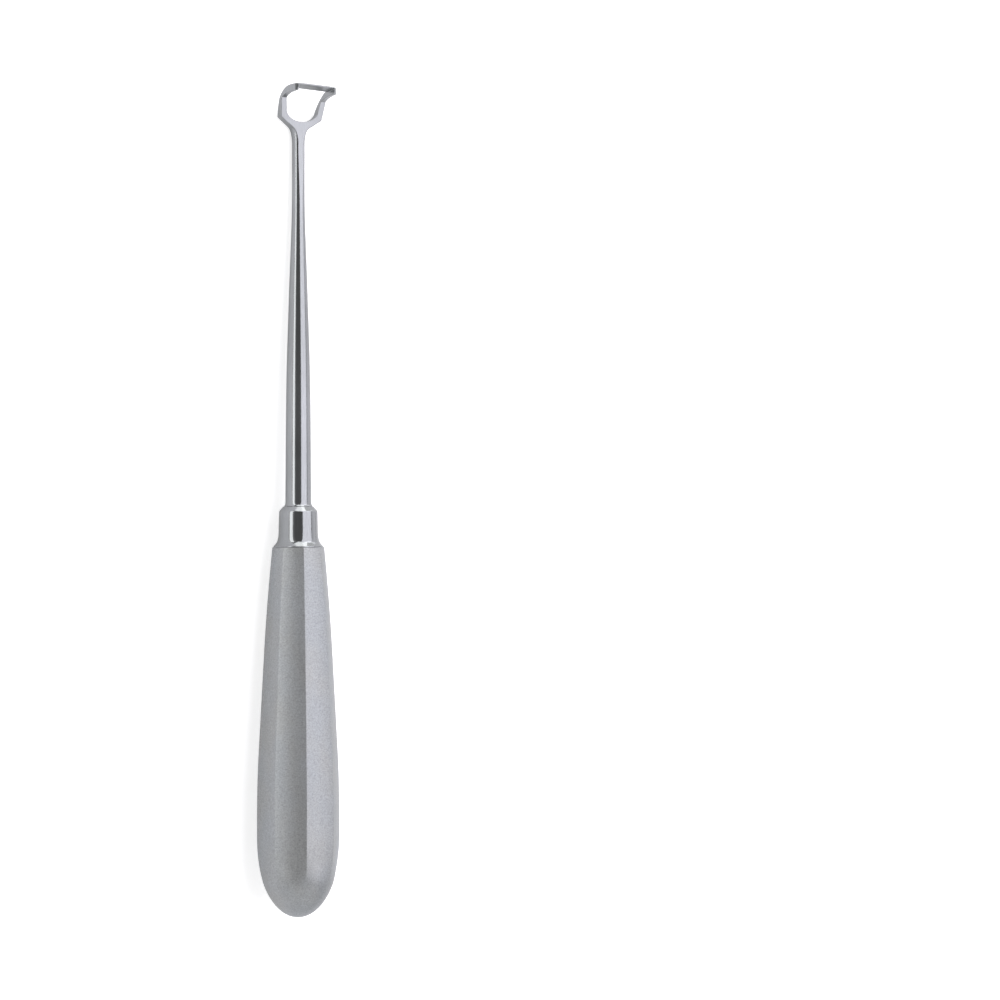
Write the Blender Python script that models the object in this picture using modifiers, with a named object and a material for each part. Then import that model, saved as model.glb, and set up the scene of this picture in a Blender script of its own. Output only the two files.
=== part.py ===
"""An adenoid curette: a hollow eight-sided handle, a turned ferrule and a forged shaft with a window blade.

The instrument is modelled upright in its own frame: +Z runs from the butt to the blade, -Y is the
side the blade reaches to, and X is across it. A parent empty then lays it down the way it rests,
on one facet of the handle and the heel of the neck, with the blade up and +Y along the tool.
"""

import math

import bmesh
import bpy
import numpy as np
from mathutils import Euler, Matrix, Vector

MM = 0.001

# Clearance kept between pieces that seat on or in each other
FIT_GAP = 0.3 * MM

# Handle: radii are half the width across opposite corners, places are counted from the butt
FACETS = 8
HANDLE_LENGTH = 97.6 * MM
DOME_LENGTH = 22.0 * MM
DOME_POWER = 2.25
BELLY_FROM_BUTT = 27.0 * MM
BELLY_RADIUS = 11.08 * MM
TAPER_FROM_BUTT = 44.0 * MM
TAPER_RADIUS = 10.62 * MM
TAPER_LENGTH = 26.0 * MM
MOUTH_RADIUS = 6.98 * MM
MOUTH_SLOPE = -0.10
SHELL_WALL = 1.2 * MM
FACET_EDGE_BEVEL = 0.25 * MM

# Ferrule: lengths are heights above the handle's mouth
FLANGE_RADIUS = 6.6 * MM
FLANGE_THICKNESS = 0.35 * MM
FLARE_LENGTH = 4.75 * MM
BARREL_BASE_RADIUS = 5.18 * MM
BARREL_TOP_RADIUS = 5.08 * MM
BARREL_LENGTH = 3.7 * MM
SHOULDER_LENGTH = 1.6 * MM
SHOULDER_TOP_RADIUS = 4.0 * MM
SPIGOT_LENGTH = 12.0 * MM

# Shaft: heights are counted from its foot, where it stands on the ferrule
TANG_RADIUS = 2.8 * MM
TANG_LENGTH = 38.0 * MM
FOOT_RADIUS = 3.9 * MM
FOOT_FILLET_LENGTH = 1.6 * MM
SHAFT_BASE_RADIUS = 3.44 * MM
SHAFT_WAIST_HEIGHT = 32.4 * MM
SHAFT_WAIST_RADIUS = 3.15 * MM
SHAFT_TAPER_HEIGHT = 55.4 * MM
SHAFT_TAPER_RADIUS = 2.49 * MM
NECK_START_HEIGHT = 78.9 * MM
NECK_START_RADIUS = 1.71 * MM
NECK_END_HEIGHT = 94.9 * MM
NECK_RADIUS = 1.65 * MM
NECK_FLAT_LENGTH = 26.0 * MM

# Head: heights are counted from the end of the neck, reaches from the shaft's axis to the front
FRONT_PLANE = 1.40 * MM
FORK_HEIGHT = 4.8 * MM
FORK_HALF_WIDTH = 3.0 * MM
FORK_FLARE_RADIUS = 2.5 * MM
CORNER_HEIGHT = 6.9 * MM
CORNER_HALF_WIDTH = 6.41 * MM
CREASE_HEIGHT = 11.8 * MM
CREASE_HALF_WIDTH = 7.05 * MM
CREASE_REACH = 2.62 * MM
LEAN_START_HEIGHT = 6.3 * MM
HEEL_LEAN = math.radians(6.0)
SPINE_HEIGHT = 9.6 * MM
SPINE_REACH = 0.44 * MM
SPINE_LEAN = math.radians(23.0)
EDGE_HEIGHT = 15.0 * MM
EDGE_REACH = 8.85 * MM
EDGE_HALF_WIDTH = 6.35 * MM
EDGE_THICKNESS = 0.45 * MM
EDGE_ARCH = 0.3 * MM
EDGE_CORNER_CHAMFER = 0.45 * MM
CHEEK_DEPTH = 2.0 * MM
WINDOW_BOTTOM_HEIGHT = 6.1 * MM
WINDOW_ARC_HEIGHT = 2.9 * MM
WINDOW_HALF_WIDTH = 4.88 * MM
WINDOW_TOP_HALF_WIDTH = 5.35 * MM
PLATE_REACH = 5.6 * MM
PLATE_THICKNESS = 0.6 * MM
EDGE_UNDERCUT = 0.07 * MM
CHEEK_UNDERCUT = 0.35 * MM
PLATE_BACK_SLANT = 0.2 * MM

# Handles of the Bezier curves, as shares of the length or width that each curve spans
FLARE_HANDLES = (0.75, 0.2)
FLARE_SPREAD = 0.25
SHOULDER_ROUND = 0.25
FOOT_FILLET_HANDLES = (0.15, 0.45)
TANG_TIP_SHARE = 0.3
FORK_HANDLES = (0.55, 0.45)
FORK_FLARE_HANDLES = (0.3, 0.4)
HEEL_HANDLE = 0.31
BEND_HANDLES = (0.78, 0.62)
BLADE_DROOP = 0.035
CHEEK_HANDLE = 0.4
CHEEK_RISE = 0.01
CREASE_HANDLE = (0.16, 0.13)
ARCH_POWER = 4
DRAW_IN_POWER = 1.6

# Fineness of the curved outlines and the turned pieces
POINTS_PER_FACET = 4
DOME_RINGS = 9
SPAN_RINGS = 5
CURVE_STEPS = 7
TURN_STEPS = 40
BEVEL_SEGMENTS = 2
BEVEL_ANGLE = math.radians(35.0)
MERGE_DISTANCE = 0.00001
JOIN_STEP = 0.01 * MM
CUTTER_REACH = 30.0 * MM

# Places along the tool that follow from the sizes above
FERRULE_FOOT = HANDLE_LENGTH + FIT_GAP
FERRULE_LENGTH = FLANGE_THICKNESS + FLARE_LENGTH + BARREL_LENGTH + SHOULDER_LENGTH
SHAFT_FOOT = FERRULE_FOOT + FERRULE_LENGTH + FIT_GAP
NECK_END = SHAFT_FOOT + NECK_END_HEIGHT
FACET_HALF_ANGLE = math.pi / FACETS
TAPER_APOTHEM = TAPER_RADIUS * math.cos(FACET_HALF_ANGLE)
REST_SLOPE = (TAPER_APOTHEM - NECK_RADIUS) / (NECK_END - TAPER_FROM_BUTT)
REST_TILT = math.atan(REST_SLOPE)
TAPER_END_RADIUS = TAPER_RADIUS - TAPER_LENGTH * REST_SLOPE / math.cos(FACET_HALF_ANGLE)

SATIN_STEEL = ("satin_steel", (0.36, 0.37, 0.39), 0.42)
POLISHED_STEEL = ("polished_steel", (0.55, 0.56, 0.58), 0.12)


def clear_scene():
    """Remove every object, so that the script can be run again."""
    for old in list(bpy.data.objects):
        bpy.data.objects.remove(old, do_unlink=True)


def new_collection(name):
    """A fresh collection in the scene."""
    made = bpy.data.collections.new(name)
    bpy.context.scene.collection.children.link(made)
    return made


def metal(finish):
    """A Principled material from a finish's name, colour and roughness."""
    name, colour, roughness = finish
    made = bpy.data.materials.new(name)
    made.use_nodes = True
    shader = made.node_tree.nodes["Principled BSDF"]
    shader.inputs["Base Color"].default_value = (*colour, 1.0)
    shader.inputs["Metallic"].default_value = 1.0
    shader.inputs["Roughness"].default_value = roughness
    return made


def mesh_object(name, mesh, collection):
    """An object that holds the mesh, in the collection."""
    made = bpy.data.objects.new(name, mesh)
    collection.objects.link(made)
    return made


def hide_cutter(cutter):
    """Show a tool object as a wire that isn't rendered."""
    cutter.hide_render = True
    cutter.display_type = "WIRE"
    return cutter


def hermite(start, end, steps):
    """Points (height, radius) of a cubic between two (height, radius, slope) stations, end included."""
    (h0, r0, s0), (h1, r1, s1) = start, end
    t = np.arange(1, steps + 1) / steps
    span = h1 - h0
    rise = 3 * t**2 - 2 * t**3
    radius = r0 + (r1 - r0) * rise + span * (s0 * t * (1 - t) ** 2 - s1 * t**2 * (1 - t))
    return list(zip(h0 + span * t, radius))


def bezier(p0, p1, p2, p3, steps=CURVE_STEPS):
    """Points of a cubic Bezier curve after its first point, as (across, up) pairs."""
    t = (np.arange(1, steps + 1) / steps)[:, None]
    corners = [np.array(p) for p in (p0, p1, p2, p3)]
    weights = ((1 - t) ** 3, 3 * t * (1 - t) ** 2, 3 * t**2 * (1 - t), t**3)
    return [tuple(p) for p in sum(w * c for w, c in zip(weights, corners))]


def facet_radius(angle, corner_radius):
    """Distance to the side of a regular polygon at an angle, with one facet facing -Y."""
    turned = (angle + math.pi / 2 + FACET_HALF_ANGLE) % (2 * FACET_HALF_ANGLE) - FACET_HALF_ANGLE
    return corner_radius * math.cos(FACET_HALF_ANGLE) / math.cos(turned)


def dome_radius(height):
    """Radius of the round butt at a height, a blunt ellipse as long as DOME_LENGTH."""
    rest = 1 - height / DOME_LENGTH
    return BELLY_RADIUS * math.sqrt(1 - rest**DOME_POWER) if rest > 0 else BELLY_RADIUS


def handle_stations():
    """(height, corner radius) of the handle's rings above the pole of its dome, from butt to mouth."""
    dome = [DOME_LENGTH * (1 - math.cos(math.pi / 2 * i / DOME_RINGS)) for i in range(1, DOME_RINGS + 1)]
    belly = (BELLY_FROM_BUTT, BELLY_RADIUS, 0.0)
    taper_slope = -REST_SLOPE / math.cos(FACET_HALF_ANGLE)
    taper = (TAPER_FROM_BUTT, TAPER_RADIUS, taper_slope)
    taper_end = (TAPER_FROM_BUTT + TAPER_LENGTH, TAPER_END_RADIUS, taper_slope)
    mouth = (HANDLE_LENGTH, MOUTH_RADIUS, MOUTH_SLOPE)
    stations = [(height, BELLY_RADIUS) for height in dome] + [belly[:2]]
    stations += hermite(belly, taper, SPAN_RINGS) + [taper_end[:2]]
    return stations + hermite(taper_end, mouth, SPAN_RINGS)


def ring_of(height, corner_radius):
    """Corners of the handle's section at a height: facets, cut back to the round dome near the butt."""
    count = FACETS * POINTS_PER_FACET
    angles = [FACET_HALF_ANGLE + 2 * math.pi * i / count for i in range(count)]
    radii = [min(facet_radius(angle, corner_radius), dome_radius(height)) for angle in angles]
    return [(r * math.cos(angle), r * math.sin(angle), height) for r, angle in zip(radii, angles)]


def handle_shell(collection):
    """The drawn handle: facets lofted from the dome to the open mouth, with an even wall."""
    model = bmesh.new()
    rings = [[model.verts.new(p) for p in ring_of(*station)] for station in handle_stations()]
    count = len(rings[0])
    pole = model.verts.new((0, 0, 0))
    for i in range(count):
        following = (i + 1) % count
        model.faces.new((pole, rings[0][following], rings[0][i]))
        for lower, upper in zip(rings, rings[1:]):
            model.faces.new((lower[i], lower[following], upper[following], upper[i]))
    mesh = bpy.data.meshes.new("handle_shell")
    model.to_mesh(mesh)
    model.free()
    shell = mesh_object("handle_shell", mesh, collection)
    wall = shell.modifiers.new("wall", "SOLIDIFY")
    wall.thickness = SHELL_WALL
    wall.offset = -1.0
    soften = shell.modifiers.new("soft_edges", "BEVEL")
    soften.width = FACET_EDGE_BEVEL
    soften.segments = BEVEL_SEGMENTS
    soften.limit_method = "ANGLE"
    soften.angle_limit = BEVEL_ANGLE
    return shell


def turned(name, profile, collection, closed):
    """A piece turned about Z from a profile of (radius, height) points, outer side top to bottom."""
    model = bmesh.new()
    points = [model.verts.new((radius, 0, height)) for radius, height in profile]
    for first, second in zip(points, points[1:]):
        model.edges.new((first, second))
    if closed:
        model.edges.new((points[-1], points[0]))
    mesh = bpy.data.meshes.new(name)
    model.to_mesh(mesh)
    model.free()
    piece = mesh_object(name, mesh, collection)
    screw = piece.modifiers.new("turn", "SCREW")
    screw.steps = TURN_STEPS
    screw.render_steps = TURN_STEPS
    screw.use_merge_vertices = True
    screw.merge_threshold = MERGE_DISTANCE
    screw.use_smooth_shade = True
    return piece


def ferrule(collection):
    """The turned ferrule: shoulder, barrel, flare and flange, with a spigot in the handle's mouth."""
    top = FERRULE_FOOT + FERRULE_LENGTH
    shoulder = top - SHOULDER_LENGTH
    barrel_base = shoulder - BARREL_LENGTH
    flange_top = FERRULE_FOOT + FLANGE_THICKNESS
    bore = TANG_RADIUS + FIT_GAP
    corner = (BARREL_TOP_RADIUS, shoulder + SHOULDER_ROUND * SHOULDER_LENGTH)
    mouth_apothem = MOUTH_RADIUS * math.cos(FACET_HALF_ANGLE)
    spigot = mouth_apothem - SHELL_WALL - FIT_GAP
    spread = FLARE_SPREAD * (FLANGE_RADIUS - BARREL_BASE_RADIUS)
    flare = bezier(
        (BARREL_BASE_RADIUS, barrel_base),
        (BARREL_BASE_RADIUS, barrel_base - FLARE_HANDLES[0] * FLARE_LENGTH),
        (BARREL_BASE_RADIUS + spread, flange_top + FLARE_HANDLES[1] * FLARE_LENGTH),
        (FLANGE_RADIUS, flange_top),
    )
    profile = [(bore, top), (SHOULDER_TOP_RADIUS, top)]
    profile += bezier((SHOULDER_TOP_RADIUS, top), corner, corner, (BARREL_TOP_RADIUS, shoulder))
    profile += [(BARREL_BASE_RADIUS, barrel_base)] + flare
    profile += [(FLANGE_RADIUS, FERRULE_FOOT), (spigot, FERRULE_FOOT)]
    profile += [(spigot, FERRULE_FOOT - SPIGOT_LENGTH), (bore, FERRULE_FOOT - SPIGOT_LENGTH)]
    return turned("ferrule", profile, collection, closed=True)


def shaft_profile():
    """(radius, height) points of the forging's round part, from the neck's end down to the tang's."""
    base_slope = (SHAFT_WAIST_RADIUS - SHAFT_BASE_RADIUS) / SHAFT_WAIST_HEIGHT
    base = (FOOT_FILLET_LENGTH, SHAFT_BASE_RADIUS, base_slope)
    taper_slope = (NECK_START_RADIUS - SHAFT_WAIST_RADIUS) / (NECK_START_HEIGHT - SHAFT_WAIST_HEIGHT)
    waist = (SHAFT_WAIST_HEIGHT, SHAFT_WAIST_RADIUS, taper_slope / 2)
    taper = (SHAFT_TAPER_HEIGHT, SHAFT_TAPER_RADIUS, taper_slope)
    neck = (NECK_START_HEIGHT, NECK_START_RADIUS, taper_slope / 2)
    neck_slope = (NECK_RADIUS - NECK_START_RADIUS) / (NECK_END_HEIGHT - NECK_START_HEIGHT)
    neck_end = (NECK_END_HEIGHT, NECK_RADIUS, neck_slope)
    fillet = bezier(
        (0.0, FOOT_RADIUS),
        (FOOT_FILLET_HANDLES[0] * FOOT_FILLET_LENGTH, SHAFT_BASE_RADIUS),
        (FOOT_FILLET_HANDLES[1] * FOOT_FILLET_LENGTH, SHAFT_BASE_RADIUS),
        (FOOT_FILLET_LENGTH, SHAFT_BASE_RADIUS),
        steps=SPAN_RINGS,
    )
    rising = [(0.0, FOOT_RADIUS)] + fillet
    for lower, upper in ((base, waist), (waist, taper), (taper, neck), (neck, neck_end)):
        rising += hermite(lower, upper, SPAN_RINGS)
    overlap = NECK_RADIUS / 2
    outside = [(radius, SHAFT_FOOT + height) for height, radius in reversed(rising)]
    tang_end = SHAFT_FOOT - FIT_GAP - TANG_LENGTH
    tip = TANG_TIP_SHARE * TANG_RADIUS
    cap = [(0.0, NECK_END + overlap), (NECK_RADIUS - overlap / 2, NECK_END + overlap)]
    tang = [(TANG_RADIUS, SHAFT_FOOT), (TANG_RADIUS, tang_end + tip), (TANG_RADIUS - tip, tang_end), (0.0, tang_end)]
    return cap + outside + tang


def prism(name, outline, half_depth, turn, collection):
    """A closed flat outline given an even thickness, as a mesh: the outline's plane is placed by turn."""
    curve = bpy.data.curves.new(name, "CURVE")
    curve.dimensions = "2D"
    curve.fill_mode = "BOTH"
    curve.extrude = half_depth
    spline = curve.splines.new("POLY")
    spline.points.add(len(outline) - 1)
    for point, (across, up) in zip(spline.points, outline):
        point.co = (across, up, 0, 1)
    spline.use_cyclic_u = True
    drawn = mesh_object(name + "_outline", curve, collection)
    depsgraph = bpy.context.evaluated_depsgraph_get()
    mesh = bpy.data.meshes.new_from_object(drawn.evaluated_get(depsgraph))
    bpy.data.objects.remove(drawn, do_unlink=True)
    model = bmesh.new()
    model.from_mesh(mesh)
    bmesh.ops.remove_doubles(model, verts=model.verts, dist=MERGE_DISTANCE)
    bmesh.ops.transform(model, matrix=turn, verts=model.verts)
    bmesh.ops.recalc_face_normals(model, faces=model.faces)
    model.to_mesh(mesh)
    model.free()
    return hide_cutter(mesh_object(name, mesh, collection))


def boolean(target, operand, operation):
    """Cut, join or intersect the target with another object."""
    step = target.modifiers.new(operand.name, "BOOLEAN")
    step.object = operand
    step.operation = operation
    step.solver = "EXACT"


def mirrored(right_side):
    """A symmetric outline from its right side, listed bottom to top, as (across, up) pairs."""
    return right_side + [(-across, up) for across, up in reversed(right_side)]


def front_outline():
    """The head seen from the front: fork, flanks, corners, arms and the arched top."""
    foot = NECK_END - NECK_RADIUS
    flat_half_width = math.sqrt(NECK_RADIUS**2 - FRONT_PLANE**2)
    fork = (FORK_HALF_WIDTH, NECK_END + FORK_HEIGHT)
    flank_slope = (CORNER_HEIGHT - FORK_HEIGHT) / (CORNER_HALF_WIDTH - FORK_HALF_WIDTH)
    pull = FORK_HANDLES[1] * FORK_HALF_WIDTH
    fillet = bezier(
        (flat_half_width, NECK_END),
        (flat_half_width, NECK_END + FORK_HANDLES[0] * FORK_HEIGHT),
        (fork[0] - pull, fork[1] - pull * flank_slope),
        fork,
    )
    arms = [(CORNER_HALF_WIDTH, NECK_END + CORNER_HEIGHT), (CREASE_HALF_WIDTH, NECK_END + CREASE_HEIGHT)]
    edge = NECK_END + EDGE_HEIGHT
    shares = np.linspace(1.0, 0.0, CURVE_STEPS + 1)[:-1]
    top = [(CREASE_HALF_WIDTH * s, edge - EDGE_ARCH * s**ARCH_POWER) for s in shares]
    return mirrored([(flat_half_width, foot), (flat_half_width, NECK_END)] + fillet + arms + top)


def back_curve():
    """Side view of the back: up the heel, along the leaning spine and round the bend to the edge."""
    heel = (-NECK_RADIUS, NECK_END)
    spine = (SPINE_REACH, NECK_END + SPINE_HEIGHT)
    rise = (math.sin(HEEL_LEAN), math.cos(HEEL_LEAN))
    lean = (math.sin(SPINE_LEAN), math.cos(SPINE_LEAN))
    lower_pull = HEEL_HANDLE * SPINE_HEIGHT
    upper_pull = BEND_HANDLES[0] * (EDGE_HEIGHT - SPINE_HEIGHT)
    edge = (EDGE_REACH, NECK_END + EDGE_HEIGHT)
    run = BEND_HANDLES[1] * (EDGE_REACH - SPINE_REACH)
    lower = bezier(
        heel,
        (heel[0] + rise[0] * lower_pull, heel[1] + rise[1] * lower_pull),
        (spine[0] - lean[0] * lower_pull, spine[1] - lean[1] * lower_pull),
        spine,
    )
    upper = bezier(
        spine,
        (spine[0] + lean[0] * upper_pull, spine[1] + lean[1] * upper_pull),
        (edge[0] - run, edge[1] - BLADE_DROOP * run),
        edge,
        steps=2 * CURVE_STEPS,
    )
    return [heel] + lower + upper


def side_outline():
    """The head seen from the side, as (forward, up) pairs: back, cutting edge, cheeks and front."""
    foot = NECK_END - NECK_RADIUS
    edge = NECK_END + EDGE_HEIGHT
    crease = (CREASE_REACH, NECK_END + CREASE_HEIGHT)
    cheek_front = (EDGE_REACH - CHEEK_UNDERCUT, edge - CHEEK_DEPTH)
    run = EDGE_REACH - CREASE_REACH
    cheek = bezier(
        cheek_front,
        (cheek_front[0] - CHEEK_HANDLE * run, cheek_front[1] - CHEEK_RISE * run),
        (crease[0] + CREASE_HANDLE[0] * run, crease[1] + CREASE_HANDLE[1] * run),
        crease,
    )
    front = [(FRONT_PLANE, NECK_END + LEAN_START_HEIGHT), (FRONT_PLANE, foot)]
    edge_foot = (EDGE_REACH - EDGE_UNDERCUT, edge - EDGE_THICKNESS)
    return [(-NECK_RADIUS, foot)] + back_curve() + [edge_foot, cheek_front] + cheek + front


def plan_outline():
    """The head seen from above, as (across, forward) pairs: parallel behind, drawn in to the edge."""
    start = CREASE_REACH
    run = EDGE_REACH - start
    shares = np.linspace(0.0, 1.0, CURVE_STEPS + 1)
    draw_in = CREASE_HALF_WIDTH - EDGE_HALF_WIDTH
    sides = [(CREASE_HALF_WIDTH - draw_in * s**DRAW_IN_POWER, start + run * s) for s in shares[:-1]]
    corner = [
        (EDGE_HALF_WIDTH, EDGE_REACH - EDGE_CORNER_CHAMFER),
        (EDGE_HALF_WIDTH - EDGE_CORNER_CHAMFER, EDGE_REACH + FIT_GAP),
    ]
    behind = CREASE_HALF_WIDTH + FIT_GAP
    return mirrored([(behind, -CUTTER_REACH), (behind, start)] + sides + corner)


def window_front_outline():
    """The window seen from the front: a half ellipse below, sides that open upwards, no top."""
    centre = NECK_END + WINDOW_BOTTOM_HEIGHT + WINDOW_ARC_HEIGHT
    angles = np.linspace(0.0, math.pi / 2, CURVE_STEPS + 1)
    arc = [(WINDOW_HALF_WIDTH * math.sin(t), centre - WINDOW_ARC_HEIGHT * math.cos(t)) for t in angles[1:]]
    sides = [
        (WINDOW_TOP_HALF_WIDTH, NECK_END + CREASE_HEIGHT),
        (WINDOW_TOP_HALF_WIDTH, NECK_END + EDGE_HEIGHT + CUTTER_REACH),
    ]
    return mirrored(arc + sides) + [(0.0, NECK_END + WINDOW_BOTTOM_HEIGHT)]


def window_side_outline():
    """The window seen from the side: it runs through the frame and stops under the blade's plate."""
    edge = NECK_END + EDGE_HEIGHT
    plate_front = (EDGE_REACH, edge - EDGE_THICKNESS)
    plate_back = (PLATE_REACH, edge - EDGE_THICKNESS - PLATE_THICKNESS)
    rise = (plate_front[1] - plate_back[1]) / (plate_front[0] - plate_back[0])
    beyond = (plate_front[0] + CUTTER_REACH, plate_front[1] + CUTTER_REACH * rise)
    above = (PLATE_REACH - PLATE_BACK_SLANT, edge + CUTTER_REACH)
    return [
        (-CUTTER_REACH, NECK_END),
        (beyond[0], NECK_END),
        beyond,
        plate_back,
        above,
        (-CUTTER_REACH, edge + CUTTER_REACH),
    ]


# How each flat outline stands in the tool's frame
FROM_FRONT = Matrix(((1, 0, 0, 0), (0, 0, -1, 0), (0, 1, 0, 0), (0, 0, 0, 1)))
FROM_SIDE = Matrix(((0, 0, -1, 0), (-1, 0, 0, 0), (0, 1, 0, 0), (0, 0, 0, 1)))
FROM_ABOVE = Matrix(((1, 0, 0, 0), (0, -1, 0, 0), (0, 0, -1, 0), (0, 0, 0, 1)))


def head_blank(tools):
    """The forged head as one solid: three outlines crossed, a flared fork, and the window cut out."""
    length = NECK_END + EDGE_HEIGHT + CUTTER_REACH
    blank = prism("head_front", front_outline(), CUTTER_REACH, FROM_FRONT, tools)
    flare_top = NECK_END + FORK_HEIGHT
    start = NECK_RADIUS - JOIN_STEP
    low, high = FORK_FLARE_HANDLES
    curve = bezier(
        (FORK_FLARE_RADIUS, flare_top),
        (start + high * (FORK_FLARE_RADIUS - start), flare_top - high * FORK_HEIGHT),
        (start, NECK_END + low * FORK_HEIGHT),
        (start, NECK_END),
    )
    profile = [(0.0, flare_top), (FORK_FLARE_RADIUS, flare_top)] + curve
    profile += [(start, NECK_END - FIT_GAP), (0.0, NECK_END - FIT_GAP)]
    boolean(blank, hide_cutter(turned("fork_flare", profile, tools, closed=False)), "UNION")
    boolean(blank, prism("head_side", side_outline(), CUTTER_REACH, FROM_SIDE, tools), "INTERSECT")
    boolean(blank, prism("head_plan", plan_outline(), length, FROM_ABOVE, tools), "INTERSECT")
    window = prism("window_front", window_front_outline(), 2 * CUTTER_REACH, FROM_FRONT, tools)
    boolean(window, prism("window_side", window_side_outline(), CUTTER_REACH, FROM_SIDE, tools), "INTERSECT")
    boolean(blank, window, "DIFFERENCE")
    return blank


def neck_flat_cutter(tools):
    """A block whose face grinds the flat on the front of the neck, fading out down the shaft."""
    fade = math.atan((SHAFT_TAPER_RADIUS - FRONT_PLANE) / (NECK_END_HEIGHT - SHAFT_TAPER_HEIGHT))
    model = bmesh.new()
    bmesh.ops.create_cube(model, size=1.0)
    bmesh.ops.scale(model, vec=(CUTTER_REACH, CUTTER_REACH, 2 * NECK_FLAT_LENGTH), verts=model.verts)
    bmesh.ops.translate(model, vec=(0, -CUTTER_REACH / 2, 0), verts=model.verts)
    mesh = bpy.data.meshes.new("neck_flat")
    model.to_mesh(mesh)
    model.free()
    cutter = mesh_object("neck_flat", mesh, tools)
    cutter.location = (0, -FRONT_PLANE, NECK_END)
    cutter.rotation_euler = Euler((-fade, 0, 0))
    return hide_cutter(cutter)


def blade_and_shaft(collection, tools):
    """The forging: tang, tapered shaft, flattened neck and the head with its window blade."""
    forging = turned("blade_and_shaft", shaft_profile(), collection, closed=False)
    boolean(forging, neck_flat_cutter(tools), "DIFFERENCE")
    boolean(forging, head_blank(tools), "UNION")
    return forging


def lay_down(pieces, tools):
    """Parent all to one empty that lays the tool as it rests, centred over the floor."""
    rest = bpy.data.objects.new("adenoid_curette", None)
    bpy.context.scene.collection.objects.link(rest)
    rest.rotation_euler = Euler((-(math.pi / 2 + REST_TILT), 0, 0))
    for piece in list(pieces.objects) + list(tools.objects):
        piece.parent = rest
    bpy.context.view_layer.update()
    depsgraph = bpy.context.evaluated_depsgraph_get()
    corners = []
    for piece in pieces.objects:
        shown = piece.evaluated_get(depsgraph)
        corners += [shown.matrix_world @ vertex.co for vertex in shown.data.vertices]
    low = [min(corner[axis] for corner in corners) for axis in range(3)]
    high = [max(corner[axis] for corner in corners) for axis in range(3)]
    rest.location = Vector((-(low[0] + high[0]) / 2, -(low[1] + high[1]) / 2, -low[2]))
    bpy.context.view_layer.update()
    return rest


def main():
    """Build the pieces, dress them and lay the instrument down."""
    clear_scene()
    pieces = new_collection("adenoid_curette")
    tools = new_collection("adenoid_curette_cutters")
    satin, polished = metal(SATIN_STEEL), metal(POLISHED_STEEL)
    handle_shell(pieces).data.materials.append(satin)
    ferrule(pieces).data.materials.append(polished)
    blade_and_shaft(pieces, tools).data.materials.append(polished)
    lay_down(pieces, tools)


main()
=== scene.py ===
"""An adenoid curette, laid down the way it rests, under plain soft studio light.

Sizes are in millimetres in the tool's own frame: x across, a along the tool from the butt, and f
forward, the side the blade reaches to. Rest turns them into the world's metres.
"""

import logging
import math
from collections.abc import Sequence
from dataclasses import dataclass, field
from enum import Enum

import bpy
import numpy as np
from mathutils import Matrix, Vector


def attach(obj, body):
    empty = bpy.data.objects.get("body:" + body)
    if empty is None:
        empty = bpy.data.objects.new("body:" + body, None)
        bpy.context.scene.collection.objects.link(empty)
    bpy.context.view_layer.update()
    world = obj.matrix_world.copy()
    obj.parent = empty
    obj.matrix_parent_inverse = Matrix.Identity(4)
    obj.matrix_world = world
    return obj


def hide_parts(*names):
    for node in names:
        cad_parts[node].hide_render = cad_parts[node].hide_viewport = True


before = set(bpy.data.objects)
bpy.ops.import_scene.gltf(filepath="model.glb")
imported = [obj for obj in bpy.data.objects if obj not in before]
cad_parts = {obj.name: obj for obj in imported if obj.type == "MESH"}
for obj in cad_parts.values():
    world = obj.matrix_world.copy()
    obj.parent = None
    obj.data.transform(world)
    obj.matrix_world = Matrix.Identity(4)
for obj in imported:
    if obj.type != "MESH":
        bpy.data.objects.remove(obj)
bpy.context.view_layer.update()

LOG = logging.getLogger("adenoid_curette")

METRE = 1000.0
SHAFT_FOOT = 108.32
FERRULE_FOOT = 97.62
HANDLE_LENGTH = 97.6
NECK_END = 203.5
NECK_RADIUS = 1.65
FRONT_PLANE = 1.40
TAPER_FROM_BUTT = 44.0
TAPER_RADIUS = 10.62
FACETS = 8
FACET_HALF_ANGLE = math.pi / FACETS
TINY = 1e-9
NOISE_MIDDLE = 0.5
MIX_SHARE, MIX_FIRST, MIX_SECOND, MIX_RESULT = 0, 6, 7, 2
WHITE = (1.0, 1.0, 1.0, 1.0)
LAVENDER = (0.985, 0.97, 1.04)
REST_SLOPE = (TAPER_RADIUS * math.cos(FACET_HALF_ANGLE) - NECK_RADIUS) / (NECK_END - TAPER_FROM_BUTT)


def smooth_max(first: np.ndarray, second: np.ndarray, width: float) -> np.ndarray:
    """The larger of two distances, with the edge where they meet rounded over a width."""
    blend = np.maximum(width - np.abs(first - second), 0.0) / width
    return np.maximum(first, second) + blend**2 * width / 4


def smooth_min(first: np.ndarray, second: np.ndarray, width: float) -> np.ndarray:
    """The smaller of two distances, with the corner where they meet filled over a width."""
    return -smooth_max(-first, -second, width)


def bezier(corners: Sequence[tuple[float, float]], steps: int) -> list[tuple[float, float]]:
    """Points of a cubic Bezier curve after its first point.

    Args:
        corners: Start, two handles and end.
        steps: Number of points.

    Returns:
        The points, weighted sums of the corners by the cubic Bernstein terms.
    """
    t = (np.arange(1, steps + 1) / steps)[:, None]
    weights = ((1 - t) ** 3, 3 * t * (1 - t) ** 2, 3 * t**2 * (1 - t), t**3)
    points = sum(weight * np.array(corner) for weight, corner in zip(weights, corners))
    return [tuple(point) for point in points]


def mirrored(right_side: list[tuple[float, float]]) -> list[tuple[float, float]]:
    """A symmetric outline from its right side."""
    return right_side + [(-across, up) for across, up in reversed(right_side)]


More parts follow.
